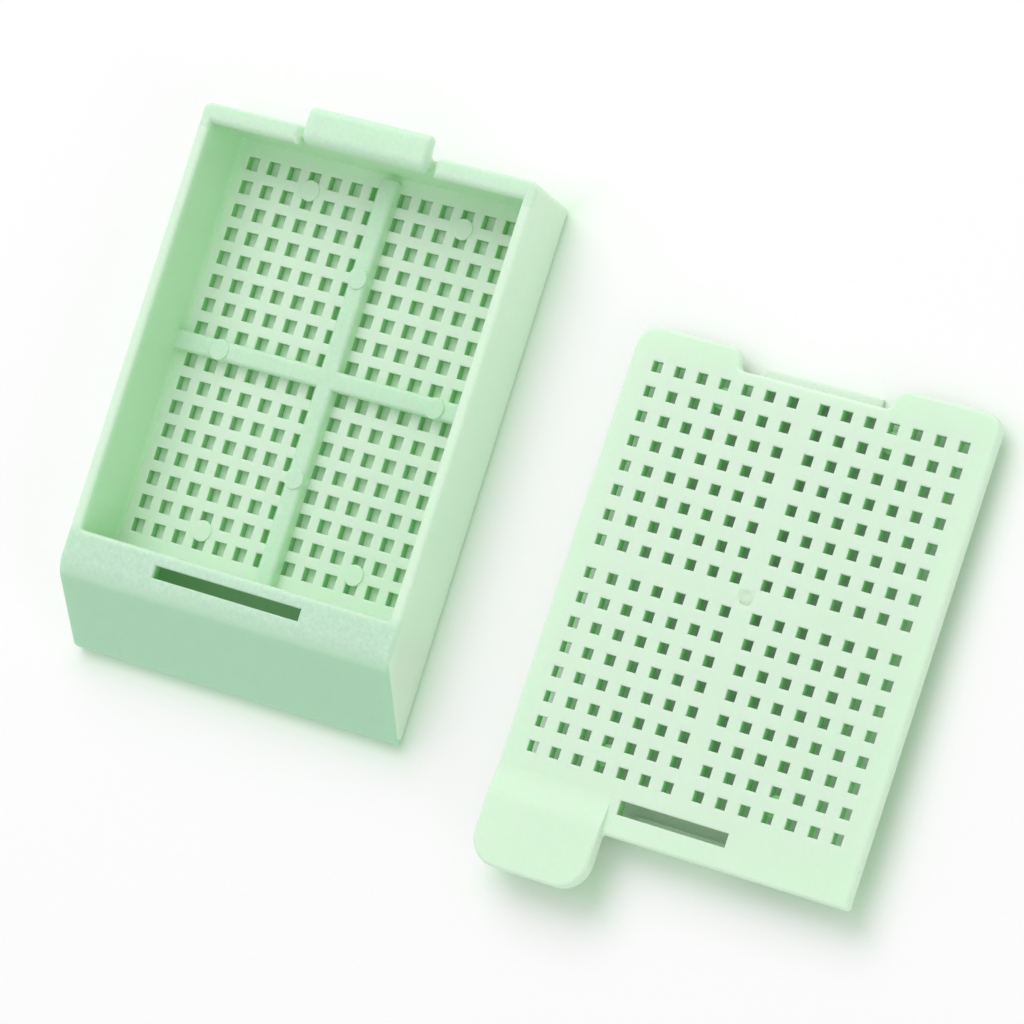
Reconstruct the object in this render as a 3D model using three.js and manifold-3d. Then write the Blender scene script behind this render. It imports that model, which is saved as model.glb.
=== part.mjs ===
// A two-piece tissue cassette for histology: a perforated tray with a slanted
// writing block at its front, and a perforated lid with a thumb tab, shown
// taken off and lying beside the tray.
//
// Millimetres, +Z up, the writing end towards -Y. The origin is on the tray's
// underside, under the crossing of its two ribs.

import * as THREE from "three";
import { mergeVertices } from "three/addons/utils/BufferGeometryUtils.js";
import Module from "manifold-3d";

const wasm = await Module();
wasm.setup();

// ---- driving dimensions: the tray --------------------------------------

const TRAY_WIDTH = 28.5; // outside, across the rims
const TRAY_HEIGHT = 5.9; // underside to rim
const CAVITY_LENGTH = 30.7; // inside, front wall to rear wall, at the floor
const FLOOR_THICKNESS = 0.8;
const SIDE_WALL = 0.88; // at the rim
const SIDE_DRAFT = 0.2; // each side is this much narrower at the underside
const CAVITY_DRAFT = 0.1; // the cavity's walls open this much towards the rim
const REAR_LEAN = 0.55; // how far the rear wall leans out by rim height
const REAR_WALL = 0.95; // thickness of the rear wall
const REAR_HEEL_RADIUS = 0.7; // rounding where the rear wall meets the underside

const RIB_WIDTH = 1.4; // the long rib and the cross rib on the floor
const RIB_HEIGHT = 0.9;
const PAD_RADIUS = 0.78; // round ejector pads
const PAD_HEIGHT = 0.12;

// ---- the holes, shared by the tray and the lid -------------------------

const HOLE_PITCH = 1.8;
const TRAY_HOLE = 0.98; // square hole, side
const LID_HOLE = 0.76;
const RIB_LAND = 0.02; // floor between a rib and the holes beside it
const WALL_LAND = 0.61; // least floor between a hole and a wall

// ---- the writing block at the tray's front -----------------------------

const BLOCK_TOP = 3.05; // length of the flat top, front wall to writing face
const WRITING_RUN = 5.0; // how far the writing face reaches forward
const FRONT_LAND = 1.0; // height of the upright strip below the writing face
const BLOCK_SHELL = 0.9; // thickness of the block's top and writing face
const FRONT_WALL = 0.7; // wall between the cavity and the hollow block
const SLOT_WIDTH = 0.9; // the slot that takes the lid's hook
const SLOT_SETBACK = 0.95; // from the cavity's edge to the slot

// ---- the rear stop -----------------------------------------------------

const STOP_WIDTH = 10.3; // the tall tongue in the middle of the rear wall
const STOP_RISE = 0.65; // how far it stands above the rim
const STOP_OVERHANG = 1.35; // how far it curls out behind the rear wall
const STOP_BROW = 0.9; // its crest rounds over from the front in this length
const STOP_ROLL = 0.58; // radius of its rolled rear edge
const STOP_ROOT = 2.1; // the curl meets the wall this far below the rim
const LIP_OVERHANG = 0.25; // how far the rear lips reach in over the cavity
const LIP_HEIGHT = 0.5; // height of those lips, down from the rim
const NOTCH_DEPTH = 1.05; // the notches beside the tongue, down from the rim
const NOTCH_WIDTH = 0.3; // at the bottom of a notch
const SHOULDER_RADIUS = 1.0; // rounded end of the wall beside each notch

// ---- driving dimensions: the lid ---------------------------------------

const LID_THICKNESS = 0.95;
const LID_SIDE_INSET = 0.1; // the lid stops this far inside the tray's sides
const LID_FRONT_INSET = 0.35; // and this far behind the writing face's edge
const LID_REAR_INSET = 0.3; // and this far inside the rear wall's outer edge
const LOBE_RADIUS = 1.4; // outer corners of the two rear lobes
const RECESS_SIDE_CLEARANCE = 0.8; // lid to tongue, each side
const RECESS_REAR_CLEARANCE = 0.6; // lid to tongue, behind
const RECESS_RADIUS = 0.75; // rounded ends of the lobes beside the recess

const TAB_WIDTH = 9.2; // the thumb tab at the front left
const TAB_REACH = 4.4; // how far it stands out in front of the lid
const TAB_RADIUS = 2.2;
const TAB_RISE = 0.38; // how far its top stands above the plate
const TAB_THICKNESS = 1.15;
const TAB_RAMP = 2.7; // length of the slope up to the tab

const HOOK_WIDTH = 8.5; // the hook under the lid's front edge
const HOOK_END_CLEARANCE = 2.05; // slot to hook, at each end
const HOOK_FRONT_CLEARANCE = 0.12; // slot to hook, in front
const HOOK_REAR_CLEARANCE = 0.16; // slot to hook, behind
const BARB_HOOKING = 0.22; // how far the barb reaches back past the slot
const BARB_CLEARANCE = 0.15; // block's shell to barb, below it
const BARB_HEIGHT = 0.8;
const WINDOW_WIDTH = 0.98; // the window over the barb

const CATCH_SIDE = 0.55; // the catch is this much narrower than the tongue, each side
const CATCH_THICKNESS = 0.6;
const CATCH_HOOKING = 0.15; // how far its lip passes under the tray's rear lip
const CATCH_PLAY = 0.05; // between those two lips
const CATCH_LIP_HEIGHT = 0.4;
const CATCH_CHAMFER = 0.2; // on its bottom edge, to lead it in

const GATE_RADIUS = 0.65; // moulding gate, a dimple in the middle of the lid
const GATE_DEPTH = 0.12;

// ---- how the lid lies beside the tray ----------------------------------

const LID_GAP = 9; // between the tray's side and the lid's side
const LID_FORWARD = 7; // the lid lies this much nearer the front

const PAST = 1; // a cutter runs this far past the face it cuts
const MERGE_DISTANCE = 1e-5; // vertices closer than this are one vertex
const CURVE_STEPS = 8; // straight pieces in each curve of an outline
const DISC_STEPS = 24;

// ---- sizes that follow from those --------------------------------------

const halfWidth = TRAY_WIDTH / 2;
const innerHalf = halfWidth - SIDE_WALL;
const floorHalf = innerHalf - CAVITY_DRAFT;
const floorFront = -CAVITY_LENGTH / 2;
const floorRear = CAVITY_LENGTH / 2;
const rimFront = floorFront - CAVITY_DRAFT;
const rimRear = floorRear + REAR_LEAN;
const rearFace = rimRear + REAR_WALL;
const writingEdge = rimFront - BLOCK_TOP;
const frontFace = writingEdge - WRITING_RUN;
const slotHalf = HOOK_WIDTH / 2 + HOOK_END_CLEARANCE;
const slotRear = rimFront - SLOT_SETBACK;
const slotFront = slotRear - SLOT_WIDTH;
const stopFront = rimRear - LIP_OVERHANG;
const stopRear = rearFace + STOP_OVERHANG;
const lipBottom = TRAY_HEIGHT - LIP_HEIGHT;
const lipFace = lipBottom + LIP_OVERHANG;
const ribBase = FLOOR_THICKNESS / 2;
const ribTop = FLOOR_THICKNESS + RIB_HEIGHT;

// Places of the holes' centres on one side of a rib, counted out from it.
function holePlaces(halfSpan) {
  const first = RIB_WIDTH / 2 + RIB_LAND + TRAY_HOLE / 2;
  const last = halfSpan - WALL_LAND - TRAY_HOLE / 2;
  const count = Math.floor((last - first) / HOLE_PITCH) + 1;
  return Array.from({ length: Math.max(count, 1) }, (_, i) => first + i * HOLE_PITCH);
}

const columns = holePlaces(floorHalf);
const rows = holePlaces(floorRear);

// The place midway between a hole and the next one out.
function between(places, index) {
  const i = Math.min(Math.max(index, 0), places.length - 1);
  return places[i] + HOLE_PITCH / 2;
}

// Pads stand on the floor between the two outermost rows, on the long rib
// midway along each half, and on the cross rib one hole in from each wall.
const padColumn = columns[Math.floor(columns.length / 2)];
const padRow = between(rows, rows.length - 2);
const ribPadRow = between(rows, Math.floor(rows.length / 2) - 1);
const ribPadColumn = between(columns, columns.length - 3);

// ---- solids ------------------------------------------------------------

// A manifold-3d solid from a closed three.js geometry.
function toSolid(geometry) {
  geometry.deleteAttribute("normal");
  geometry.deleteAttribute("uv");
  const merged = mergeVertices(geometry, MERGE_DISTANCE);
  return new wasm.Manifold(new wasm.Mesh({
    numProp: 3,
    vertProperties: new Float32Array(merged.attributes.position.array),
    triVerts: new Uint32Array(merged.index.array),
  }));
}

function toMesh(solid, name, material) {
  const result = solid.getMesh();
  const geometry = new THREE.BufferGeometry();
  geometry.setAttribute("position", new THREE.BufferAttribute(result.vertProperties, 3));
  geometry.setIndex(new THREE.BufferAttribute(result.triVerts, 1));
  geometry.computeVertexNormals();
  const mesh = new THREE.Mesh(geometry, material);
  mesh.name = name;
  return mesh;
}

function box(x0, x1, y0, y1, z0, z1) {
  const geometry = new THREE.BoxGeometry(x1 - x0, y1 - y0, z1 - z0);
  geometry.translate((x0 + x1) / 2, (y0 + y1) / 2, (z0 + z1) / 2);
  return geometry;
}

function extrusion(depth) {
  return { depth, bevelEnabled: false, curveSegments: CURVE_STEPS };
}

// An outline drawn in X and Y, standing up from z0 to z1.
function upright(shape, z0, z1) {
  const geometry = new THREE.ExtrudeGeometry(shape, extrusion(z1 - z0));
  geometry.translate(0, 0, z0);
  return toSolid(geometry);
}

// A side view drawn in Y and Z, running across from x0 to x1.
function across(shape, x0, x1) {
  const geometry = new THREE.ExtrudeGeometry(shape, extrusion(x1 - x0));
  geometry.applyMatrix4(new THREE.Matrix4().makeBasis(
    new THREE.Vector3(0, 1, 0),
    new THREE.Vector3(0, 0, 1),
    new THREE.Vector3(1, 0, 0),
  ));
  geometry.translate(x0, 0, 0);
  return toSolid(geometry);
}

function disc(x, y, radius, z0, z1) {
  const geometry = new THREE.CylinderGeometry(radius, radius, z1 - z0, DISC_STEPS);
  geometry.rotateX(Math.PI / 2);
  geometry.translate(x, y, (z0 + z1) / 2);
  return toSolid(geometry);
}

function polygon(points) {
  return new THREE.Shape(points.map(([a, b]) => new THREE.Vector2(a, b)));
}

function joined(solids) {
  return solids.reduce((whole, solid) => whole.add(solid));
}

// The same place in all four quarters, or on both sides of one rib.
function mirrored(x, y) {
  const xs = x === 0 ? [0] : [-x, x];
  const ys = y === 0 ? [0] : [-y, y];
  return xs.flatMap((px) => ys.map((py) => [px, py]));
}

// All the square holes of one plate.
function holeCutter(side, z0, z1) {
  const half = side / 2;
  const holes = columns.flatMap((column) => rows.flatMap((row) => (
    mirrored(column, row).map(([x, y]) => (
      toSolid(box(x - half, x + half, y - half, y + half, z0, z1))
    ))
  )));
  return wasm.Manifold.compose(holes);
}

// ---- the tray ----------------------------------------------------------

// The rear wall's outer face leans out towards the rim.
function rearFaceAt(z) {
  return rearFace - REAR_LEAN * (1 - z / TRAY_HEIGHT);
}

// Side view of the tray's outer form, without the tongue. The rear edge of
// the rim is rounded over, and so is the heel.
function traySideView() {
  const crown = REAR_WALL / 2;
  const heel = REAR_HEEL_RADIUS;
  const shape = new THREE.Shape();
  shape.moveTo(frontFace, 0);
  shape.lineTo(rearFaceAt(0) - heel, 0);
  shape.quadraticCurveTo(rearFaceAt(0), 0, rearFaceAt(heel), heel);
  shape.lineTo(rearFaceAt(TRAY_HEIGHT - crown), TRAY_HEIGHT - crown);
  shape.quadraticCurveTo(rearFace, TRAY_HEIGHT, rearFace - crown, TRAY_HEIGHT);
  shape.lineTo(writingEdge, TRAY_HEIGHT);
  shape.lineTo(frontFace, FRONT_LAND);
  shape.closePath();
  return shape;
}

// The outer form narrows a little towards the underside.
function trayOuter() {
  const outer = across(traySideView(), -halfWidth, halfWidth);
  return outer.warp((point) => {
    const drop = 1 - point[2] / TRAY_HEIGHT;
    point[0] -= Math.sign(point[0]) * SIDE_DRAFT * drop;
  });
}

// The cavity, from the floor up past the rim. Its rear wall leans back, and
// lips at the rim reach in over it.
function trayCavity() {
  const opening = (z) => (z - FLOOR_THICKNESS) / (TRAY_HEIGHT - FLOOR_THICKNESS);
  const view = polygon([
    [floorFront, FLOOR_THICKNESS],
    [floorRear, FLOOR_THICKNESS],
    [floorRear + REAR_LEAN * opening(lipBottom), lipBottom],
    [stopFront, lipFace],
    [stopFront, TRAY_HEIGHT + STOP_RISE + PAST],
    [rimFront, TRAY_HEIGHT + STOP_RISE + PAST],
    [rimFront, TRAY_HEIGHT],
  ]);
  const cavity = across(view, -innerHalf, innerHalf);
  return cavity.warp((point) => {
    const rise = Math.min(opening(point[2]), 1);
    point[0] -= Math.sign(point[0]) * CAVITY_DRAFT * (1 - rise);
  });
}

// The block behind the writing face is hollow and open underneath.
function blockHollow() {
  const slope = Math.atan2(TRAY_HEIGHT - FRONT_LAND, WRITING_RUN);
  const setIn = BLOCK_SHELL / Math.sin(slope);
  const roof = TRAY_HEIGHT - BLOCK_SHELL;
  const run = WRITING_RUN / (TRAY_HEIGHT - FRONT_LAND);
  const faceAt = (z) => frontFace + (z - FRONT_LAND) * run + setIn;
  const front = frontFace + BLOCK_SHELL;
  const knee = FRONT_LAND + (front - frontFace - setIn) / run;
  const view = polygon([
    [floorFront - FRONT_WALL, -PAST],
    [rimFront - FRONT_WALL, roof],
    [faceAt(roof), roof],
    [front, Math.max(knee, 0)],
    [front, -PAST],
  ]);
  const half = halfWidth - SIDE_DRAFT - SIDE_WALL;
  return across(view, -half, half);
}

// Side view of the tongue: it stands on the rear wall, its crest rounds over
// and runs back, and its rear edge rolls down and under.
function tongueSideView() {
  const crest = TRAY_HEIGHT + STOP_RISE;
  const insideWall = rearFace - REAR_WALL / 2;
  const rollCentre = stopRear - STOP_ROLL;
  const rollBottom = crest - 2 * STOP_ROLL;
  const shape = new THREE.Shape();
  shape.moveTo(stopFront, lipFace);
  shape.lineTo(stopFront, TRAY_HEIGHT);
  shape.quadraticCurveTo(stopFront, crest, stopFront + STOP_BROW, crest);
  shape.lineTo(rollCentre, crest);
  shape.absarc(rollCentre, crest - STOP_ROLL, STOP_ROLL, Math.PI / 2, -Math.PI / 2, true);
  shape.quadraticCurveTo(rearFace, rollBottom, insideWall, TRAY_HEIGHT - STOP_ROOT);
  shape.lineTo(insideWall, lipFace);
  shape.closePath();
  return shape;
}

// A notch beside the tongue: upright on the tongue's side, rounded on the
// other, drawn in X and Z and cut through the rear wall.
function notch(side) {
  const x0 = STOP_WIDTH / 2;
  const x1 = x0 + NOTCH_WIDTH;
  const bottom = TRAY_HEIGHT - NOTCH_DEPTH;
  const top = TRAY_HEIGHT + PAST;
  const round = Math.min(SHOULDER_RADIUS, NOTCH_DEPTH);
  const shape = new THREE.Shape();
  shape.moveTo(side * x0, bottom);
  shape.lineTo(side * x1, bottom);
  shape.lineTo(side * x1, TRAY_HEIGHT - round);
  shape.quadraticCurveTo(side * x1, TRAY_HEIGHT, side * (x1 + round), TRAY_HEIGHT);
  shape.lineTo(side * (x1 + round), top);
  shape.lineTo(side * x0, top);
  shape.closePath();
  const depth = stopRear - floorRear + 2 * PAST;
  const geometry = new THREE.ExtrudeGeometry(shape, extrusion(depth));
  geometry.rotateX(Math.PI / 2);
  geometry.translate(0, floorRear - PAST + depth, 0);
  return toSolid(geometry);
}

function trayPads() {
  const floorPads = mirrored(padColumn, padRow).map(([x, y]) => (
    disc(x, y, PAD_RADIUS, 0, FLOOR_THICKNESS + PAD_HEIGHT)
  ));
  const ribPlaces = [...mirrored(0, ribPadRow), ...mirrored(ribPadColumn, 0)];
  const ribPads = ribPlaces.map(([x, y]) => (
    disc(x, y, PAD_RADIUS, ribBase, ribTop + PAD_HEIGHT)
  ));
  return joined([...floorPads, ...ribPads]);
}

function trayRibs() {
  const half = RIB_WIDTH / 2;
  const intoWall = SIDE_WALL / 2;
  const front = floorFront - intoWall;
  const rear = floorRear + intoWall;
  const side = floorHalf + intoWall;
  const long = box(-half, half, front, rear, ribBase, ribTop);
  const cross = box(-side, side, -half, half, ribBase, ribTop);
  return toSolid(long).add(toSolid(cross));
}

function tray() {
  const slot = box(
    -slotHalf,
    slotHalf,
    slotFront,
    slotRear,
    TRAY_HEIGHT - BLOCK_SHELL - PAST,
    TRAY_HEIGHT + PAST,
  );
  const shell = trayOuter()
    .subtract(trayCavity())
    .subtract(blockHollow())
    .subtract(toSolid(slot))
    .subtract(notch(-1))
    .subtract(notch(1));
  const tongue = across(tongueSideView(), -STOP_WIDTH / 2, STOP_WIDTH / 2);
  const holes = holeCutter(TRAY_HOLE, -PAST, FLOOR_THICKNESS + PAST);
  return shell
    .add(tongue)
    .subtract(holes)
    .add(trayRibs())
    .add(trayPads());
}

// ---- the lid, drawn as it sits on the tray, its underside at Z = 0 ------

const lidHalf = halfWidth - LID_SIDE_INSET;
const lidFront = writingEdge + LID_FRONT_INSET;
const lobeRear = rearFace - LID_REAR_INSET;
const recessFront = stopFront - RECESS_REAR_CLEARANCE;
const recessHalf = STOP_WIDTH / 2 + RECESS_SIDE_CLEARANCE;
const tabRight = -lidHalf + TAB_WIDTH;
const tabFront = lidFront - TAB_REACH;
const hookFront = slotFront + HOOK_FRONT_CLEARANCE;
const hookRear = slotRear - HOOK_REAR_CLEARANCE;
const barbRear = slotRear + BARB_HOOKING;
const barbTop = -BLOCK_SHELL - BARB_CLEARANCE;
const hookFoot = barbTop - BARB_HEIGHT;
const catchHalf = STOP_WIDTH / 2 - CATCH_SIDE;
const catchRear = stopFront + CATCH_HOOKING;
const catchLipTop = -LIP_HEIGHT - CATCH_PLAY;
const catchFoot = catchLipTop - CATCH_LIP_HEIGHT;

// The plate's outline: two lobes at the back with a recess between them for
// the tongue, and a square front.
function plateOutline() {
  const r = LOBE_RADIUS;
  const round = RECESS_RADIUS;
  const shape = new THREE.Shape();
  shape.moveTo(-lidHalf, lidFront);
  shape.lineTo(lidHalf, lidFront);
  shape.lineTo(lidHalf, lobeRear - r);
  shape.absarc(lidHalf - r, lobeRear - r, r, 0, Math.PI / 2, false);
  shape.lineTo(recessHalf + round, lobeRear);
  shape.quadraticCurveTo(recessHalf, lobeRear, recessHalf, recessFront);
  shape.lineTo(-recessHalf, recessFront);
  shape.quadraticCurveTo(-recessHalf, lobeRear, -recessHalf - round, lobeRear);
  shape.lineTo(-lidHalf + r, lobeRear);
  shape.absarc(-lidHalf + r, lobeRear - r, r, Math.PI / 2, Math.PI, false);
  shape.closePath();
  return shape;
}

function tabOutline() {
  const r = TAB_RADIUS;
  const back = lidFront + TAB_RAMP;
  const shape = new THREE.Shape();
  shape.moveTo(-lidHalf, back);
  shape.lineTo(-lidHalf, tabFront + r);
  shape.absarc(-lidHalf + r, tabFront + r, r, Math.PI, 1.5 * Math.PI, false);
  shape.absarc(tabRight - r, tabFront + r, r, 1.5 * Math.PI, 2 * Math.PI, false);
  shape.lineTo(tabRight, back);
  shape.closePath();
  return shape;
}

// Side view of the tab: a slope up from the plate, then level.
function tabSideView() {
  const back = lidFront + TAB_RAMP;
  const top = LID_THICKNESS + TAB_RISE;
  const bottom = top - TAB_THICKNESS;
  return polygon([
    [back, 0],
    [back, LID_THICKNESS],
    [lidFront, top],
    [tabFront - PAST, top],
    [tabFront - PAST, bottom],
    [lidFront, bottom],
    [lidFront + TAB_RAMP / 3, 0],
  ]);
}

function tab() {
  const prism = upright(tabOutline(), -PAST, LID_THICKNESS + TAB_RISE + PAST);
  const side = across(tabSideView(), -lidHalf - PAST, tabRight + PAST);
  return prism.intersect(side);
}

// The hook drops through the tray's slot, and its barb passes back under the
// block's top.
function hook() {
  const view = polygon([
    [hookFront, LID_THICKNESS / 2],
    [hookFront, hookFoot],
    [hookRear, hookFoot],
    [barbRear, (barbTop + hookFoot) / 2],
    [barbRear, barbTop],
    [hookRear, barbTop],
    [hookRear, LID_THICKNESS / 2],
  ]);
  return across(view, -HOOK_WIDTH / 2, HOOK_WIDTH / 2);
}

// The catch stands under the recess, and its lip passes under the tray's lip.
function rearCatch() {
  const front = recessFront - CATCH_THICKNESS;
  const view = polygon([
    [front, LID_THICKNESS / 2],
    [front, catchFoot],
    [catchRear - CATCH_CHAMFER, catchFoot],
    [catchRear, catchFoot + CATCH_CHAMFER],
    [catchRear, catchLipTop],
    [recessFront, catchLipTop],
    [recessFront, LID_THICKNESS / 2],
  ]);
  return across(view, -catchHalf, catchHalf);
}

function lidPads() {
  return joined(mirrored(padColumn, padRow).map(([x, y]) => (
    disc(x, y, PAD_RADIUS, -PAD_HEIGHT, LID_THICKNESS / 2)
  )));
}

function lid() {
  const window = box(
    -HOOK_WIDTH / 2,
    HOOK_WIDTH / 2,
    hookRear,
    hookRear + WINDOW_WIDTH,
    -PAST,
    LID_THICKNESS + PAST,
  );
  const plate = upright(plateOutline(), 0, LID_THICKNESS);
  const gate = disc(0, 0, GATE_RADIUS, LID_THICKNESS - GATE_DEPTH, LID_THICKNESS + PAST);
  return plate
    .add(tab())
    .subtract(toSolid(window))
    .subtract(holeCutter(LID_HOLE, -PAST, LID_THICKNESS + PAST))
    .subtract(gate)
    .add(hook())
    .add(rearCatch())
    .add(lidPads());
}

// ---- the two pieces as they lie ----------------------------------------

const plastic = new THREE.MeshStandardMaterial({
  name: "mint_plastic",
  color: 0xbfe6c4,
  roughness: 0.5,
  metalness: 0,
});

const cassette = new THREE.Group();
cassette.name = "tissue_cassette";

cassette.add(toMesh(tray(), "cassette_base", plastic));

// The lid lies on its hook and its catch, so its front is a little higher.
const footRun = catchRear - CATCH_CHAMFER - hookRear;
const tilt = -Math.atan2(catchFoot - hookFoot, footRun);
const footHeight = hookRear * Math.sin(tilt) + hookFoot * Math.cos(tilt);

const lidMesh = toMesh(lid(), "cassette_lid", plastic);
lidMesh.rotation.x = tilt;
lidMesh.position.set(halfWidth + LID_GAP + lidHalf, -LID_FORWARD, -footHeight);
cassette.add(lidMesh);

export default cassette;
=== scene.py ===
import math

import bmesh
import bpy
from mathutils import Matrix, Vector


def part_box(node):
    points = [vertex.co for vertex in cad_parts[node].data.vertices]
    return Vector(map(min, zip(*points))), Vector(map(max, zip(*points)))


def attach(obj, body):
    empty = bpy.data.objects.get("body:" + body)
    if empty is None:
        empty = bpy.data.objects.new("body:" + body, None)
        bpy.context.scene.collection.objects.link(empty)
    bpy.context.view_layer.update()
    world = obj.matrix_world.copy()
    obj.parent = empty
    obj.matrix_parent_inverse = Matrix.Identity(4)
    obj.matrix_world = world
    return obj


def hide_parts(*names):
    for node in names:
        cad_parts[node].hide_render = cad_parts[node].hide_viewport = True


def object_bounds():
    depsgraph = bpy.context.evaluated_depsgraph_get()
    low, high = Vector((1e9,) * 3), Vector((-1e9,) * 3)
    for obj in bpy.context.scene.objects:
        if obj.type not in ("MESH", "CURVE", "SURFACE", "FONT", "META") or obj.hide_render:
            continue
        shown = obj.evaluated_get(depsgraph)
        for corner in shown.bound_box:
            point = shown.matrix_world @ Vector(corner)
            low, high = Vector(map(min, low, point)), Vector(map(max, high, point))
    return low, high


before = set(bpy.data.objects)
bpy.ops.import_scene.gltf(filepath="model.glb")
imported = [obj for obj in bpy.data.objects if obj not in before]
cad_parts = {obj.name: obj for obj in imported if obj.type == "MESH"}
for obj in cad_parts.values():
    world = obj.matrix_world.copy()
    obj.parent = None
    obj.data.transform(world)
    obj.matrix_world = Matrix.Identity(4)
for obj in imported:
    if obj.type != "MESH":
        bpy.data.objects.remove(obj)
cad_low, cad_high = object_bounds()


# ---- the tray ------------------------------------------------------------
# The tray is one injection moulding in pale mint acetal, a translucent, satin plastic. Its
# pierced floor carries two low ribs, a hollow block with a slanted writing face closes its
# front, and a rolled tongue stands on its leaning rear wall between two rolled lips.

MM = 0.001
MINT = (0.72, 0.90, 0.72)
MINT_DEEP = (0.66, 0.88, 0.665)
# The coarse tone is speckled for the grained tops, and darker than the plastic because shade is
# painted there.
MINT_COARSE_SHADED = (0.52, 0.74, 0.58)
# The polished tone is painted shade on the writing face.
MINT_SHADED_FACE = (0.46, 0.75, 0.53)
# The next two are painted: a deep green for shade inside the hollow block, the holes and the cavity
# walls, and a faint green glow there that stands in for light through the plastic.
MINT_PAINTED_SHADE = (0.28, 0.54, 0.28)
PAINTED_GLOW_BETWEEN_WALLS = (0.014, 0.072, 0.011)
MOTTLE_SIZE = 5 * MM
SPECKLE_SIZE = 0.3 * MM
GRAIN_SIZE = 0.16 * MM
GRAIN_DEPTH = 0.005 * MM
COARSE_GRAIN = 3.5
POLISHED_GRAIN = -0.6
SPECKLE_LEAST = 0.2
SPECKLE_RANGE = 1.2
SATIN_ROUGHNESS = 0.42
MOTTLE_ROUGHNESS = 0.08
COARSE_ROUGHNESS = 0.1
POLISHED_ROUGHNESS = -0.08


class Wire:
    """One socket's value in a material, so that sums on it are written as Python."""

    def __init__(self, tree, socket=None):
        self.tree = tree
        self.socket = socket

    def node(self, kind, settings=None, output=0, **values):
        """A new node with its settings, and values or wires for sockets by name or as _0, _1."""
        made = self.tree.nodes.new("ShaderNode" + kind)
        for name, setting in (settings or {}).items():
            setattr(made, name, setting)
        for name, value in values.items():
            open_sockets = [s for s in made.inputs if s.enabled]
            if name[1:].isdigit():
                socket = open_sockets[int(name[1:])]
            else:
                socket = next(s for s in open_sockets if s.name == name.replace("_", " "))
            if isinstance(value, Wire):
                self.tree.links.new(value.socket, socket)
            else:
                socket.default_value = value
        outputs = [s for s in made.outputs if s.enabled]
        if isinstance(output, str):
            return Wire(self.tree, made.outputs[output])
        return Wire(self.tree, outputs[output])

    def output(self, name):
        """Another output of the same node."""
        return Wire(self.tree, self.socket.node.outputs[name])

    def maths(self, operation, first, second):
        return self.node("Math", {"operation": operation}, _0=first, _1=second)

    def mix(self, factor, first, second):
        return self.node("Mix", {"data_type": "RGBA"}, Factor=factor, A=first, B=second)

    def ramp(self, low, high):
        """0 below low, 1 above high, and even in between."""
        return self.node("MapRange", Value=self, From_Min=low, From_Max=high)

    def at_least(self, other):
        """The larger of the two."""
        return self.maths("MAXIMUM", self, other)

    def __abs__(self):
        return self.node("Math", {"operation": "ABSOLUTE"}, _0=self)

    def __add__(self, other):
        return self.maths("ADD", self, other)

    def __radd__(self, other):
        return self.maths("ADD", other, self)

    def __sub__(self, other):
        return self.maths("SUBTRACT", self, other)

    def __rsub__(self, other):
        return self.maths("SUBTRACT", other, self)

    def __mul__(self, other):
        return self.maths("MULTIPLY", self, other)

    def __rmul__(self, other):
        return self.maths("MULTIPLY", other, self)

    def __lt__(self, other):
        return self.maths("LESS_THAN", self, other)

    def __gt__(self, other):
        return self.maths("GREATER_THAN", self, other)

    def feed(self, socket):
        self.tree.links.new(self.socket, socket)


def mint_plastic(name, finish):
    """The acetal. finish(x, y, z), in millimetres, says where it is coarse, where polished and where
    shade is painted; the coarse and polished tones carry painted shade too.
    """
    material = bpy.data.materials.new(name)
    material.use_nodes = True
    material.cycles.emission_sampling = "NONE"
    shader = material.node_tree.nodes["Principled BSDF"]
    shader.inputs["IOR"].default_value = 1.48
    shader.inputs["Specular IOR Level"].default_value = 0.3
    shader.inputs["Subsurface Weight"].default_value = 0.5
    shader.inputs["Subsurface Scale"].default_value = 1.3 * MM
    shader.inputs["Subsurface Radius"].default_value = (0.4, 1.0, 0.45)
    wires = Wire(material.node_tree)
    place = wires.node("TexCoord", output="Object")
    mottle = wires.node("TexNoise", Vector=place, Scale=1 / MOTTLE_SIZE, Detail=3.0)
    grain = wires.node("TexNoise", Vector=place, Scale=1 / GRAIN_SIZE, Detail=2.0, Roughness=0.6)
    colour = wires.mix(mottle, (*MINT, 1), (*MINT_DEEP, 1))
    speckle = wires.node("TexNoise", Vector=place, Scale=1 / SPECKLE_SIZE, Detail=3.0)
    apart = wires.node("SeparateXYZ", Vector=place)
    coarse_and_shaded, polished_and_shaded, painted_shade = finish(*(apart.output(axis) * (1 / MM) for axis in "XYZ"))
    height = (grain - 0.5) * (1 + coarse_and_shaded * COARSE_GRAIN + polished_and_shaded * POLISHED_GRAIN)
    roughness = SATIN_ROUGHNESS + mottle * MOTTLE_ROUGHNESS + coarse_and_shaded * COARSE_ROUGHNESS
    roughness = roughness + polished_and_shaded * POLISHED_ROUGHNESS
    speckled = speckle * SPECKLE_RANGE + SPECKLE_LEAST
    # On the coarse tops the speckle is the grain, and the darker tone under it is painted shade.
    colour = wires.mix(coarse_and_shaded * speckled, colour, (*MINT_COARSE_SHADED, 1))
    # The writing face's deeper tone is painted shade; its finer grain and lower roughness are its
    # real polish.
    colour = wires.mix(polished_and_shaded, colour, (*MINT_SHADED_FACE, 1))
    # Painted shade: the hollow, the holes and the cavity walls are deepened and given a faint
    # painted glow.
    colour = wires.mix(painted_shade, colour, (*MINT_PAINTED_SHADE, 1))
    painted_glow = wires.mix(painted_shade, (0.0, 0.0, 0.0, 1.0), (*PAINTED_GLOW_BETWEEN_WALLS, 1))
    painted_glow.feed(shader.inputs["Emission Color"])
    shader.inputs["Emission Strength"].default_value = 1.0
    colour.feed(shader.inputs["Base Color"])
    roughness.feed(shader.inputs["Roughness"])
    wires.node("Bump", Distance=GRAIN_DEPTH, Height=height).feed(shader.inputs["Normal"])
    return material


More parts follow.
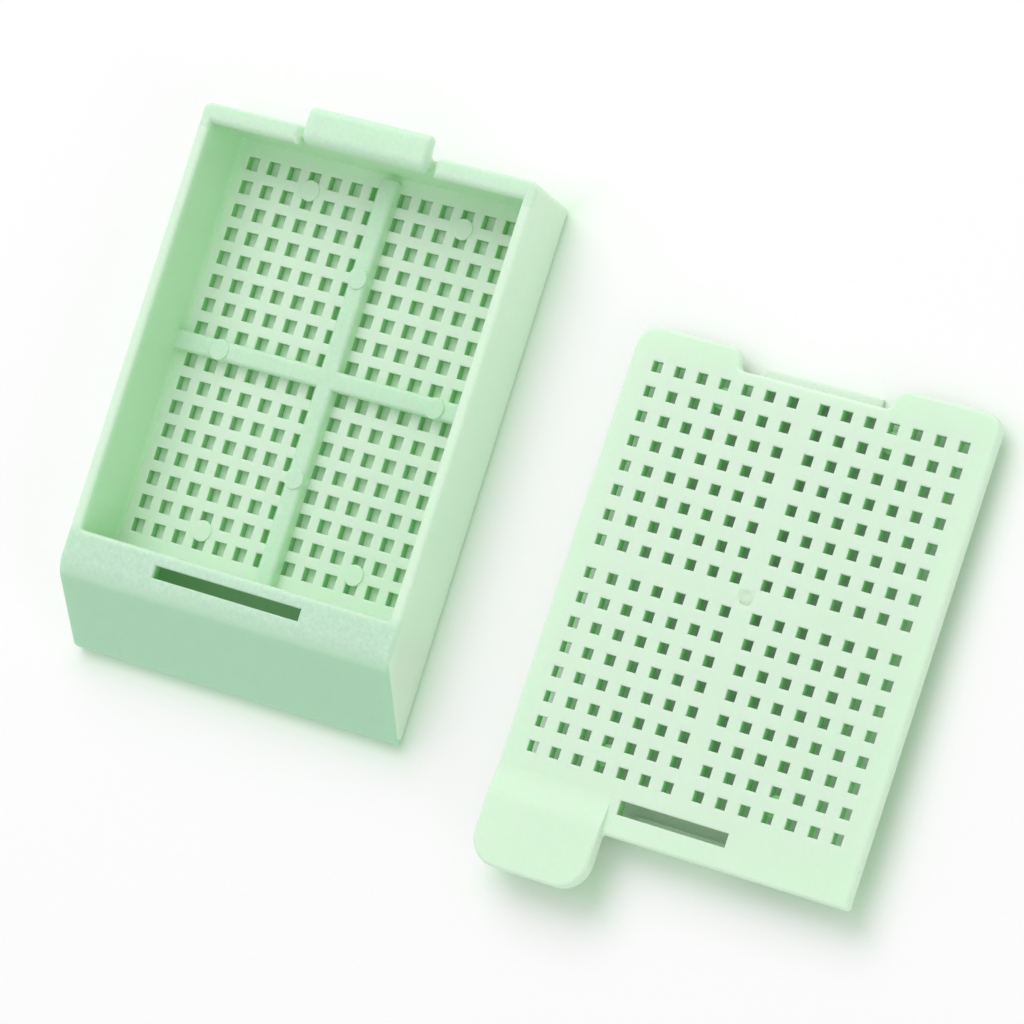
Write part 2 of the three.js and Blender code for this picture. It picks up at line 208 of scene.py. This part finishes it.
tray_low, tray_high = (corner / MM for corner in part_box("cassette_base"))
tongue_rise = 0.65
rim = tray_high.z - tongue_rise
rim_half = tray_high.x
side_draft = 0.2
foot_half = rim_half - side_draft
side_wall = 0.88
cavity_draft = 0.1
floor_half = rim_half - side_wall - cavity_draft
floor_top = 0.8
floor_end = 15.35
rib_top = 1.7
pad_radius = 0.78
pad_height = 0.12
hole_pitch = 1.8
tray_hole = 0.98
first_hole = 1.21
rib_half = first_hole - tray_hole / 2
columns = [first_hole + i * hole_pitch for i in range(7)]
rows = [first_hole + i * hole_pitch for i in range(8)]
lean = 0.55
rear_wall = 0.95
tongue_front = floor_end - 0.4
tongue_foot = rim - 0.5
lip_front = floor_end + 0.05
lip_bottom = rim - 0.85
notch_bottom = rim - 1.05
notch_width = 0.3
shoulder = 1.0
tongue_half = 5.15
tongue_rear = tray_high.y - lean
roll_bottom = tray_high.z - 1.15
front_face = tray_low.y
front_land = 1.0
writing_run = 5.0
shell = 0.9
front_wall = 0.7
roof = rim - shell
slot_half = 6.3
slot_rear = -16.4
slot_front = -17.3
corner_steps = 6
NEAR = 0.02
FLAT_ANGLE = math.radians(1)
SHARP_ANGLE = math.radians(50)


def square_form(x_lines, y_lines, z_lines, solid):
    """A closed mesh of every cell between the lines for which solid(x, y, z) is true."""
    plan = bmesh.new()
    bmesh.ops.create_grid(plan, x_segments=1, y_segments=1, size=1)
    for vert in plan.verts:
        vert.co.x = x_lines[-1] if vert.co.x > 0 else x_lines[0]
        vert.co.y = y_lines[-1] if vert.co.y > 0 else y_lines[0]
    for lines, across in ((x_lines, Vector((1, 0, 0))), (y_lines, Vector((0, 1, 0)))):
        for place in lines[1:-1]:
            whole = plan.verts[:] + plan.edges[:] + plan.faces[:]
            bmesh.ops.bisect_plane(
                plan, geom=whole, dist=1e-5, plane_co=across * place, plane_no=across,
            )
    form = bmesh.new()
    layer_mesh = bpy.data.meshes.new("layer")
    for z0, z1 in zip(z_lines, z_lines[1:]):
        layer = plan.copy()
        bmesh.ops.translate(layer, verts=layer.verts, vec=(0, 0, z0))
        rise = Vector((0, 0, (z1 - z0) / 2))
        empty = [f for f in layer.faces if not solid(*(f.calc_center_median() + rise))]
        bmesh.ops.delete(layer, geom=empty, context="FACES")
        grown = bmesh.ops.extrude_face_region(layer, geom=layer.faces[:])["geom"]
        tops = [v for v in grown if isinstance(v, bmesh.types.BMVert)]
        bmesh.ops.translate(layer, verts=tops, vec=(0, 0, z1 - z0))
        bmesh.ops.recalc_face_normals(layer, faces=layer.faces)
        inside = [f for f in layer.faces if solid(*(f.calc_center_median() + f.normal * 0.01))]
        bmesh.ops.delete(layer, geom=inside, context="FACES")
        layer.to_mesh(layer_mesh)
        form.from_mesh(layer_mesh)
        layer.free()
    plan.free()
    bpy.data.meshes.remove(layer_mesh)
    bmesh.ops.remove_doubles(form, verts=form.verts, dist=1e-4)
    return form


def clear_flats(form, side):
    """Joins faces that lie in one plane, apart from the grid between the square holes."""
    for pass_over_grid in (True, False):
        flat = []
        for edge in form.edges:
            start, end = (vert.co for vert in edge.verts)
            if edge.calc_face_angle(math.pi) > FLAT_ANGLE:
                continue
            if at_hole_corner(start, side) and at_hole_corner(end, side):
                continue
            upright = near(start.x, end.x) and on_hole_line(start.x, columns, side)
            level = near(start.y, end.y) and on_hole_line(start.y, rows, side)
            if not (pass_over_grid and (upright or level)):
                flat.append(edge)
        bmesh.ops.dissolve_edges(form, edges=flat, use_verts=False, use_face_split=False)
        spare = []
        for vert in form.verts:
            if len(vert.link_edges) != 2 or at_hole_corner(vert.co, side):
                continue
            ends = [edge.other_vert(vert).co for edge in vert.link_edges]
            if (ends[0] - vert.co).angle(vert.co - ends[1]) < FLAT_ANGLE:
                spare.append(vert)
        bmesh.ops.dissolve_verts(form, verts=spare)


def round_edges(form, test, radius, segments, along=None, least_angle=30):
    """Rounds the sharp edges whose middle passes the test, all of them or those along one axis."""
    sharp = []
    for edge in form.edges:
        run = (edge.verts[1].co - edge.verts[0].co).normalized()
        lined_up = along is None or abs(run["xyz".index(along)]) > 0.8
        middle = (edge.verts[0].co + edge.verts[1].co) / 2
        if lined_up and edge.calc_face_angle(0) > math.radians(least_angle) and test(*middle):
            sharp.append(edge)
    bmesh.ops.bevel(
        form, geom=sharp, offset=radius, segments=segments, profile=0.5,
        affect="EDGES", material=-1, clamp_overlap=False, loop_slide=True,
    )


def both_ways(places):
    return sorted([-place for place in places] + list(places))


def near(value, place):
    return abs(value - place) < NEAR


def in_hole(x, y, side):
    across = any(abs(abs(x) - place) < side / 2 for place in columns)
    return across and any(abs(abs(y) - place) < side / 2 for place in rows)


def on_hole_line(value, places, side):
    return any(near(abs(abs(value) - place), side / 2) for place in places)


def at_hole_corner(co, side):
    return on_hole_line(co.x, columns, side) and on_hole_line(co.y, rows, side)


def tray_solid(x, y, z):
    x = abs(x)
    if z > rim or y > floor_end + rear_wall:
        on_tongue = x < tongue_half and tongue_front < y < tongue_rear
        return on_tongue and roll_bottom < z < tray_high.z
    if z < 0 or x > foot_half or y < front_face:
        return False
    if x > floor_half:
        return True
    if y > tongue_front:
        in_notch = tongue_half < x < tongue_half + notch_width and z > notch_bottom
        if y < floor_end:
            return z < floor_top or (z > tongue_foot and x < tongue_half)
        return not in_notch
    if y > -floor_end:
        if z < floor_top:
            return not in_hole(x, y, tray_hole)
        return z < rib_top and (x < rib_half or abs(y) < rib_half)
    if y > -floor_end - front_wall:
        return True
    if z > roof:
        return not (x < slot_half and slot_front < y < slot_rear)
    return y < front_face + shell


hole_x = [place + side for place in columns for side in (-tray_hole / 2, tray_hole / 2)]
hole_y = [place + side for place in rows for side in (-tray_hole / 2, tray_hole / 2)]
notch_side = tongue_half + notch_width
turns = [math.radians(90 / corner_steps * i) for i in range(corner_steps + 1)]
curve = [notch_side + shoulder * (1 - math.cos(turn)) for turn in turns]
tray = square_form(
    both_ways(hole_x + [tongue_half] + curve + [slot_half, floor_half, foot_half]),
    sorted(
        both_ways(hole_y)
        + [front_face, front_face + shell, slot_front, slot_rear]
        + [-floor_end - front_wall, -floor_end]
        + [tongue_front, floor_end, floor_end + rear_wall, tongue_rear]
    ),
    [0, floor_top, front_land, rib_top, notch_bottom, roof, roll_bottom, rim, tray_high.z],
    tray_solid,
)

# The square form takes its slopes: the writing face, the leaning rear wall,
# the round shoulders beside the notches, and the draft of the sides.
slope = writing_run / (rim - front_land)
for vert in tray.verts:
    x, y, z = vert.co
    out = math.copysign(1, x)
    up_wall = max(z - floor_top, 0) / (rim - floor_top)
    if y > tongue_front - NEAR:
        past_notch = abs(x) - notch_side
        if -NEAR < past_notch < shoulder and z > notch_bottom:
            drop = 1 - min(max(past_notch, 0), shoulder) / shoulder
            vert.co.z = notch_bottom + (z - notch_bottom) * math.sqrt(1 - drop * drop)
        on_tail = y > floor_end + rear_wall + NEAR
        on_brow = y < floor_end - NEAR and z > tongue_foot - NEAR and abs(x) < tongue_half + NEAR
        vert.co.y += lean if on_tail or on_brow else lean * min(vert.co.z, rim) / rim
    elif y < front_face + shell + NEAR:
        vert.co.y += slope * max(z - front_land, 0)
    elif near(y, -floor_end):
        vert.co.y -= cavity_draft * up_wall
    if abs(x) > foot_half - NEAR:
        vert.co.x += out * side_draft * z / rim
    elif abs(x) > floor_half - NEAR:
        vert.co.x += out * cavity_draft * up_wall
bmesh.ops.remove_doubles(tray, verts=tray.verts, dist=1e-3)
bmesh.ops.dissolve_degenerate(tray, dist=1e-3, edges=tray.edges)
clear_flats(tray, tray_hole)

# Every edge gets its radius, the large ones first.
crest = tray_high.z
rim_front = -floor_end - cavity_draft
crest_front = tongue_front + lean
back_edge = floor_end + rear_wall + lean


def on_brow(x, y, z):
    return near(z, crest) and y < crest_front + NEAR


def on_tail(x, y, z):
    return abs(x) < tongue_half and near(y, tray_high.y)


def under_roll(x, y, z):
    return abs(x) < tongue_half and near(z, roll_bottom) and y > crest_front + 0.5


def on_underside(x, y, z):
    return near(z, 0) and (y > floor_end + 0.5 or abs(x) > foot_half - NEAR)


def on_rear_corner(x, y, z):
    return abs(x) > foot_half - NEAR and y > floor_end + 0.5


def on_writing_edge(x, y, z):
    return near(z, rim) and near(y, front_face + writing_run)


def on_front_land(x, y, z):
    return near(z, front_land) and near(y, front_face)


def on_rib(x, y, z):
    return near(z, rib_top) and abs(x) < floor_half - NEAR and abs(y) < floor_end - NEAR


def in_cavity_corner(x, y, z):
    at_end = abs(y) > floor_end / 2 and rim_front - NEAR < y < floor_end + lean + NEAR
    return abs(x) > floor_half - NEAR and at_end


round_edges(tray, on_brow, radius=0.85, segments=8, along="x")
round_edges(tray, on_tail, radius=0.55, segments=6, along="x")
round_edges(tray, under_roll, radius=0.42, segments=5, along="x")
round_edges(tray, on_rear_corner, radius=0.6, segments=6, along="z")
round_edges(tray, on_underside, radius=0.5, segments=5)
round_edges(tray, on_writing_edge, radius=0.9, segments=7, along="x")
round_edges(tray, on_front_land, radius=0.3, segments=4, along="x")
round_edges(tray, in_cavity_corner, radius=0.2, segments=3, along="z")
round_edges(tray, on_rib, radius=0.3, segments=4)


def on_floor_hole(x, y, z):
    return in_hole(x, y, tray_hole + 2 * NEAR) and (near(z, 0) or near(z, floor_top))


round_edges(tray, on_floor_hole, radius=0.1, segments=2)


def give_radius(form, test, radius):
    """Writes a radius, in millimetres, on the sharp edges whose middle passes the test."""
    layers = form.edges.layers.float
    weight = layers.get("bevel_weight_edge") or layers.new("bevel_weight_edge")
    for edge in form.edges:
        middle = (edge.verts[0].co + edge.verts[1].co) / 2
        sharp = edge.calc_face_angle(0) > SHARP_ANGLE and edge.is_convex
        if sharp and test(*middle):
            edge[weight] = radius


def anywhere(x, y, z):
    return True


def in_block(x, y, z):
    return abs(x) < floor_half + NEAR and front_face + 0.5 < y < rim_front - NEAR


give_radius(tray, anywhere, radius=0.28)
give_radius(tray, in_block, radius=0.1)


def disc(form, x, y, radius, low_z, high_z):
    """Adds an upright disc with slightly rounded edges."""
    made = bmesh.ops.create_cone(
        form, cap_ends=True, segments=32, radius1=radius, radius2=radius, depth=high_z - low_z,
        matrix=Matrix.Translation((x, y, (low_z + high_z) / 2)),
    )["verts"]
    rims = {e for v in made for e in v.link_edges if near(e.verts[0].co.z, e.verts[1].co.z)}
    bmesh.ops.bevel(
        form, geom=list(rims), offset=0.05, segments=2, profile=0.5, affect="EDGES", material=-1,
    )


def mesh_object(form, name):
    bmesh.ops.scale(form, verts=form.verts, vec=(MM, MM, MM))
    bmesh.ops.recalc_face_normals(form, faces=form.faces)
    mesh = bpy.data.meshes.new(name)
    form.to_mesh(mesh)
    form.free()
    made = bpy.data.objects.new(name, mesh)
    bpy.context.scene.collection.objects.link(made)
    return made


def piece_from(form, name, node, material, added=None, removed=None, place=None):
    """Rounds a form in millimetres, adds and removes details, and lets it stand for a CAD node."""
    piece = mesh_object(form, name)
    rounding = piece.modifiers.new("edge radii", "BEVEL")
    rounding.limit_method = "WEIGHT"
    rounding.width = 1 * MM
    rounding.segments = 3
    rounding.use_clamp_overlap = False
    details = []
    for operation, detail in (("UNION", added), ("DIFFERENCE", removed)):
        if detail:
            details.append(mesh_object(detail, name + "_detail"))
            cut = piece.modifiers.new("detail", "BOOLEAN")
            cut.operation = operation
            cut.solver = "EXACT"
            cut.object = details[-1]
    whole = piece.evaluated_get(bpy.context.evaluated_depsgraph_get())
    mesh = bpy.data.meshes.new_from_object(whole)
    mesh.name = name
    piece.modifiers.clear()
    piece.data = mesh
    for detail in details:
        bpy.data.objects.remove(detail)
    if place:
        mesh.transform(place)
    mesh.shade_smooth()
    mesh.set_sharp_from_angle(angle=SHARP_ANGLE)
    mesh.materials.append(material)
    shading = piece.modifiers.new("face normals", "WEIGHTED_NORMAL")
    shading.keep_sharp = True
    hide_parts(node)
    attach(piece, "root")
    return piece


def rolled_lip(form, start, end):
    """Adds the rolled lip that hangs over the cavity from the rear wall, from start to end in x."""
    lip_top = rim - 0.003
    lip_rear = back_edge - 0.25
    lip = bmesh.new()
    bmesh.ops.create_cube(lip, size=1)
    bmesh.ops.scale(
        lip, verts=lip.verts, vec=(abs(end - start), lip_rear - lip_front, lip_top - lip_bottom),
    )
    bmesh.ops.translate(
        lip, verts=lip.verts,
        vec=((start + end) / 2, (lip_front + lip_rear) / 2, (lip_bottom + lip_top) / 2),
    )

    def at_notch(x, y, z):
        return near(x, start) and near(z, lip_top)

    def on_front(x, y, z):
        return near(y, lip_front) and z > lip_bottom + NEAR

    def under_front(x, y, z):
        return near(y, lip_front) and near(z, lip_bottom)

    round_edges(lip, at_notch, radius=0.55, segments=6, along="y")
    round_edges(lip, on_front, radius=0.5, segments=6, along="x", least_angle=20)
    round_edges(lip, under_front, radius=0.2, segments=4, along="x")
    mesh = bpy.data.meshes.new("lip")
    lip.to_mesh(mesh)
    lip.free()
    form.from_mesh(mesh)
    bpy.data.meshes.remove(mesh)


rib_pad_x = first_hole + 4.5 * hole_pitch
rib_pad_y = first_hole + 3.5 * hole_pitch
corner_pad_x = first_hole + 3 * hole_pitch
corner_pad_y = first_hole + 6.5 * hole_pitch
rib_pad_root = 0.4
floor_pad_root = 0.15
lip_start = notch_side + 0.3
lip_end = floor_half + 0.5
pads = bmesh.new()
for side in (-1, 1):
    rolled_lip(pads, side * lip_start, side * lip_end)
    disc(pads, 0, side * rib_pad_y, pad_radius, rib_pad_root, rib_top + pad_height)
    disc(pads, side * rib_pad_x, 0, pad_radius, rib_pad_root, rib_top + pad_height)
    for end in (-1, 1):
        disc(
            pads, side * corner_pad_x, end * corner_pad_y, pad_radius,
            floor_pad_root, floor_top + pad_height,
        )


# How strong each finish and each painted shade is, and how deep below a surface, in millimetres, it
# may reach.
rib_coarse_and_shade = 0.6
tongue_coarse_and_shade = 0.5
floor_shade = 0.06
wall_shade = 0.24
shade_fade = 0.6
reach = 0.15
edge_reach = 0.1
skin_reach = 0.45
side_reach = 0.3
wall_reach = 0.35
roof_reach = 0.25
just_inside = 0.04


def tray_finish(x, y, z):
    """Coarse, with painted shade, on top of its block, ribs and tongue, polished, with painted
    shade, on its writing face, and painted shade inside its hollow, its holes and its cavity.
    """
    x_out = abs(x)
    over_floor = (x_out < floor_half - reach) * (y > reach - floor_end) * (y < tongue_front - reach)
    # The block top, rib tops and tongue are grained and carry a painted darker tone.
    rib_tops = over_floor * (z > rib_top - reach) * rib_coarse_and_shade
    at_rim = z.ramp(rim - 0.5, rim - 0.05)
    block_top = (1 - y.ramp(rim_front - 0.5, rim_front + 0.5)) * at_rim
    tongue = (y > tongue_front) * z.ramp(rim - 0.4, rim) * tongue_coarse_and_shade
    skin = y - (z - front_land).at_least(0.0) * slope < front_face + skin_reach
    # Painted shade inside the hollow block and down the holes, and on the cavity's floor and walls,
    # deeper up the walls.
    in_hollow = (y < rim_front - wall_reach) * (1 - skin) * (z < rim - roof_reach)
    in_holes = over_floor * (z < floor_top - edge_reach)
    inside = (x_out < foot_half - side_reach) * (z > just_inside) * (in_hollow + in_holes)
    in_cavity = (x_out < floor_half + reach) * (y > rim_front - edge_reach)
    in_cavity = in_cavity * (y < floor_end + lean) * (z > floor_top - edge_reach)
    in_cavity = in_cavity * (1 - z.ramp(rim - 0.7, rim)) * (1 - rib_tops)
    shade = in_cavity * (z.ramp(floor_top, floor_top + shade_fade) * wall_shade + floor_shade)
    return block_top + rib_tops + tongue, (1 - at_rim) * skin, inside + shade


tray_plastic = mint_plastic("mint_tray", tray_finish)
piece_from(tray, "cassette_tray", "cassette_base", tray_plastic, added=pads)


# ---- the lid -------------------------------------------------------------
# The lid is a pierced plate of the same plastic, moulded in one with its thumb tab, its hook
# for the tray's slot and its catch for the tray's tongue. It has been taken off and lies
# beside the tray, on its hook and its catch.

lid_half = rim_half - 0.1
lid_top = 0.95
lid_front = front_face + writing_run + 0.35
lid_hole = 0.76
lobe_rear = 16.55
recess_front = 15.05
recess_half = 5.95
recess_flare = 0.25
tab_width = 9.2
tab_right = tab_width - lid_half
tab_front = lid_front - 4.4
tab_top = lid_top + 0.38
tab_bottom = tab_top - 1.15
ramp_rear = lid_front + 2.7
hook_half = 4.25
hook_front = -17.18
hook_rear = -16.56
hook_foot = -1.85
barb_rear = -16.18
barb_top = -1.05
barb_slant = 0.4
window_rear = hook_rear + 0.98
catch_half = 4.6
catch_front = recess_front - 0.6
catch_rear = 15.8
catch_top = -0.55
catch_foot = -0.95
catch_radius = 0.2


def lid_solid(x, y, z):
    on_tab = -lid_half < x < tab_right
    x_out = abs(x)
    if z > lid_top:
        return on_tab and tab_front < y < ramp_rear and z < tab_top
    if y < lid_front:
        return on_tab and y > tab_front and z > tab_bottom
    if z < 0:
        on_hook = hook_front < y < hook_rear or (hook_rear < y < barb_rear and z < barb_top)
        on_catch = catch_front < y < recess_front
        on_catch = on_catch or (recess_front < y < catch_rear and z < catch_top)
        on_hook = on_hook and x_out < hook_half and z > hook_foot
        return on_hook or (on_catch and x_out < catch_half and z > catch_foot)
    if x_out > lid_half or y > lobe_rear or (x_out < recess_half and y > recess_front):
        return False
    in_window = x_out < hook_half and hook_rear < y < window_rear
    return not in_window and not in_hole(x, y, lid_hole)


hole_x = [place + side for place in columns for side in (-lid_hole / 2, lid_hole / 2)]
hole_y = [place + side for place in rows for side in (-lid_hole / 2, lid_hole / 2)]
ramp_steps = 6
ramp_run = ramp_rear - lid_front
ramp = [lid_front + ramp_run * i / ramp_steps for i in range(ramp_steps + 1)]
lid = square_form(
    sorted(both_ways(hole_x + [hook_half, catch_half, recess_half, lid_half]) + [tab_right]),
    sorted(
        both_ways(hole_y)
        + [tab_front, hook_front, hook_rear, barb_rear, window_rear]
        + ramp
        + [catch_front, recess_front, catch_rear, lobe_rear]
    ),
    [hook_foot, barb_top, catch_foot, catch_top, 0, tab_bottom, lid_top, tab_top],
    lid_solid,
)

# The tab's top slopes up from the plate, the barb slants in at its foot, and
# the recess opens out towards the back.
for vert in lid.verts:
    x, y, z = vert.co
    if z > lid_top + NEAR:
        climb = min(max((ramp_rear - y) / ramp_run, 0), 1)
        vert.co.z = lid_top + (tab_top - lid_top) * climb * climb * (3 - 2 * climb)
    if near(y, barb_rear) and near(z, hook_foot):
        vert.co.z += barb_slant
    if y > recess_front and near(abs(x), recess_half) and z > -NEAR:
        opening = (y - recess_front) / (lobe_rear - recess_front)
        vert.co.x += math.copysign(recess_flare * opening, x)
bmesh.ops.remove_doubles(lid, verts=lid.verts, dist=1e-3)
bmesh.ops.dissolve_degenerate(lid, dist=1e-3, edges=lid.edges)
clear_flats(lid, lid_hole)


def on_lid_hole(x, y, z):
    return in_hole(x, y, lid_hole + 2 * NEAR) and (near(z, 0) or near(z, lid_top))


def on_tab_front(x, y, z):
    return near(y, tab_front)


def on_outer_lobe(x, y, z):
    return near(y, lobe_rear) and near(abs(x), lid_half)


def on_inner_lobe(x, y, z):
    return near(y, lobe_rear) and abs(x) < recess_half + 1


def in_recess_corner(x, y, z):
    return near(y, recess_front) and near(abs(x), recess_half)


def beside_tab(x, y, z):
    return near(y, lid_front) and near(x, tab_right)


def on_catch_edge(x, y, z):
    return near(y, catch_rear) and near(z, catch_foot)


round_edges(lid, on_lid_hole, radius=0.1, segments=2)
round_edges(lid, on_tab_front, radius=2.2, segments=10, along="z")
round_edges(lid, on_outer_lobe, radius=1.4, segments=8, along="z")
round_edges(lid, on_inner_lobe, radius=0.75, segments=6, along="z")
round_edges(lid, in_recess_corner, radius=0.4, segments=4, along="z")
round_edges(lid, beside_tab, radius=0.4, segments=4, along="z")
round_edges(lid, on_catch_edge, radius=catch_radius, segments=3, along="x")


def on_plate_underside(x, y, z):
    return near(z, 0)


def below_plate(x, y, z):
    return z < -NEAR


def round_window(x, y, z):
    return abs(x) < hook_half + NEAR and hook_rear - NEAR < y < window_rear + NEAR


def on_ridge(x, y, z):
    return near(x, tab_right) and y > lid_front + NEAR and z > lid_top - NEAR


give_radius(lid, anywhere, radius=0.25)
give_radius(lid, on_plate_underside, radius=0.15)
give_radius(lid, below_plate, radius=0.1)
give_radius(lid, round_window, radius=0.1)
give_radius(lid, on_ridge, radius=0.0)

lid_pads = bmesh.new()
for side in (-1, 1):
    for end in (-1, 1):
        disc(
            lid_pads, side * corner_pad_x, end * corner_pad_y, pad_radius,
            -pad_height, lid_top / 2,
        )

# The gate, where the plastic flowed in, is a shallow dimple in the middle of the plate.
gate_depth = 0.12
gate_cut = 0.3
gate = bmesh.new()
bmesh.ops.create_cone(
    gate, cap_ends=True, segments=32, radius1=0.5, radius2=0.8, depth=gate_cut,
    matrix=Matrix.Translation((0, 0, lid_top - gate_depth + gate_cut / 2)),
)

# The lid stands on its hook and its catch, so its plate slopes down a little to the rear.
# The middle of the plate lies at lid_forward, on the tray's own scale from front to rear.
tilt = -math.atan2(catch_foot - hook_foot, catch_rear - catch_radius - hook_rear)
foot = hook_rear * math.sin(tilt) + hook_foot * math.cos(tilt)
lid_low, lid_high = (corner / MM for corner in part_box("cassette_lid"))
lid_forward = -7
lid_place = Matrix.Translation(Vector(((lid_low.x + lid_high.x) / 2, lid_forward, -foot)) * MM)
lid_place = lid_place @ Matrix.Rotation(tilt, 4, "X")
lid_margin = 0.4
lid_rear_margin = 0.25
lid_skin = 0.12


def lid_finish(x, y, z):
    """Painted shade in its holes and its window, measured through the tilted plate."""
    origin = lid_place.to_translation() / MM
    across = abs(x - origin.x)
    along = (y - origin.y) * math.cos(tilt) + (z - origin.z) * math.sin(tilt)
    depth = (z - origin.z) * math.cos(tilt) - (y - origin.y) * math.sin(tilt)
    within = (across < lid_half - lid_margin) * (along > lid_front + lid_margin)
    within = within * (along < recess_front - lid_rear_margin)
    return 0.0, 0.0, within * (depth > just_inside) * (depth < lid_top - lid_skin)


lid_plastic = mint_plastic("mint_lid", lid_finish)
piece_from(
    lid, "cassette_cover", "cassette_lid", lid_plastic,
    added=lid_pads, removed=gate, place=lid_place,
)


# ---- the table, the light and the camera ---------------------------------
# The cassette lies on a plain white table. A wide lamp lights it from behind on the left,
# and a weaker one fills in from the right. Below the plastic and in front of it the table's colour
# is painted green, a painted shadow tinted as if light came through the plastic. Far away the
# table glows towards the camera, so that no horizon shows.

TABLE_WHITE = (0.95, 0.95, 0.95)
TABLE_PAINTED_GREEN = (0.74, 0.93, 0.74)
TABLE_HALF = 3
TABLE_LIFT = 0.03
FAR_LIFT = 0.3
FAR_STARTS = 0.2
FAR_ENDS = 1.5
TINT_STARTS = -1.2
TINT_ENDS = 2.2
TINT_SHIFT = Vector((0.6, -1.0))
SKY_LIGHT = 0.7
SKY_SEEN = 1.0

floor_plane = bmesh.new()
bmesh.ops.create_grid(floor_plane, x_segments=1, y_segments=1, size=TABLE_HALF)
floor_mesh = bpy.data.meshes.new("table")
floor_plane.to_mesh(floor_mesh)
floor_plane.free()
table = bpy.data.objects.new("table", floor_mesh)
bpy.context.scene.collection.objects.link(table)
white = bpy.data.materials.new("white_table")
white.use_nodes = True
white_shader = white.node_tree.nodes["Principled BSDF"]
white_shader.inputs["Roughness"].default_value = 0.9
white_shader.inputs["Specular IOR Level"].default_value = 0.1
white_shader.inputs["Emission Strength"].default_value = 1.0
wires = Wire(white.node_tree)
spot = wires.node("TexCoord", output="Object")
far = wires.node("VectorMath", {"operation": "LENGTH"}, _0=spot).ramp(FAR_STARTS, FAR_ENDS)
seen = wires.node("LightPath", output="Is Camera Ray") * (TABLE_LIFT + far * FAR_LIFT)
lift = wires.mix(seen, (0.0, 0.0, 0.0, 1.0), (1.0, 1.0, 1.0, 1.0))
lift.feed(white_shader.inputs["Emission Color"])
place = wires.node("SeparateXYZ", Vector=spot)
plate_front = lid_front + lid_forward
plate_rear = lobe_rear + lid_forward
below = 0.0
# Painted shadow: near each piece, and more in front and to the right, away from the softbox, the
# table's colour is painted green.
for left, right, front, rear in (
    (tray_low.x, tray_high.x, tray_low.y, tray_high.y),
    (lid_low.x, lid_high.x, plate_front, plate_rear),
    (lid_low.x, lid_low.x + lid_half + tab_right, lid_low.y, plate_front),
):
    x = place.output("X") * (1 / MM) - ((left + right) / 2 + TINT_SHIFT.x)
    y = place.output("Y") * (1 / MM) - ((front + rear) / 2 + TINT_SHIFT.y)
    past = (abs(x) - (right - left) / 2).at_least(abs(y) - (rear - front) / 2)
    tint = 1 - past.ramp(TINT_STARTS, TINT_ENDS)
    below = tint.at_least(below)
painted_green_colour = wires.mix(below * below, (*TABLE_WHITE, 1), (*TABLE_PAINTED_GREEN, 1))
painted_green_colour.feed(white_shader.inputs["Base Color"])
floor_mesh.materials.append(white)

world = bpy.data.worlds.new("studio")
bpy.context.scene.world = world
world.use_nodes = True
background = world.node_tree.nodes["Background"]
background.inputs["Color"].default_value = (1, 1, 1, 1)
wires = Wire(world.node_tree)
shown = wires.node("LightPath", output="Is Camera Ray")
shown = shown.at_least(wires.node("LightPath", output="Is Glossy Ray"))
shown = shown.at_least(wires.node("LightPath", output="Is Transmission Ray"))
(SKY_LIGHT + shown * (SKY_SEEN - SKY_LIGHT)).feed(background.inputs["Strength"])

centre = (cad_low + cad_high) / 2
for lamp_name, size, energy, direction in (
    ("softbox", 0.9, 4.5, (-0.3, 0.6, 0.75)),
    ("fill", 0.5, 0.8, (0.9, -0.25, 0.34)),
):
    lamp = bpy.data.lights.new(lamp_name, "AREA")
    lamp.shape = "DISK"
    lamp.size = size
    lamp.energy = energy
    light = bpy.data.objects.new(lamp_name, lamp)
    bpy.context.scene.collection.objects.link(light)
    towards = Vector(direction).normalized()
    light.location = centre + towards
    light.rotation_euler = towards.to_track_quat("Z", "Y").to_euler()

AZIMUTH = 83.66
ELEVATION = 60.9
ROLL = -67.0
DISTANCE = 0.3674
FOCAL_LENGTH = 186
lens = bpy.data.cameras.new("camera")
lens.lens = FOCAL_LENGTH
camera = bpy.data.objects.new("camera", lens)
bpy.context.scene.collection.objects.link(camera)
camera.matrix_world = (
    Matrix.Translation(centre)
    @ Matrix.Rotation(math.radians(AZIMUTH), 4, "Z")
    @ Matrix.Rotation(math.radians(90 - ELEVATION), 4, "X")
    @ Matrix.Rotation(math.radians(ROLL), 4, "Z")
    @ Matrix.Translation((0, 0, DISTANCE))
)
bpy.context.scene.camera = camera
bpy.context.scene.view_settings.view_transform = "Standard"
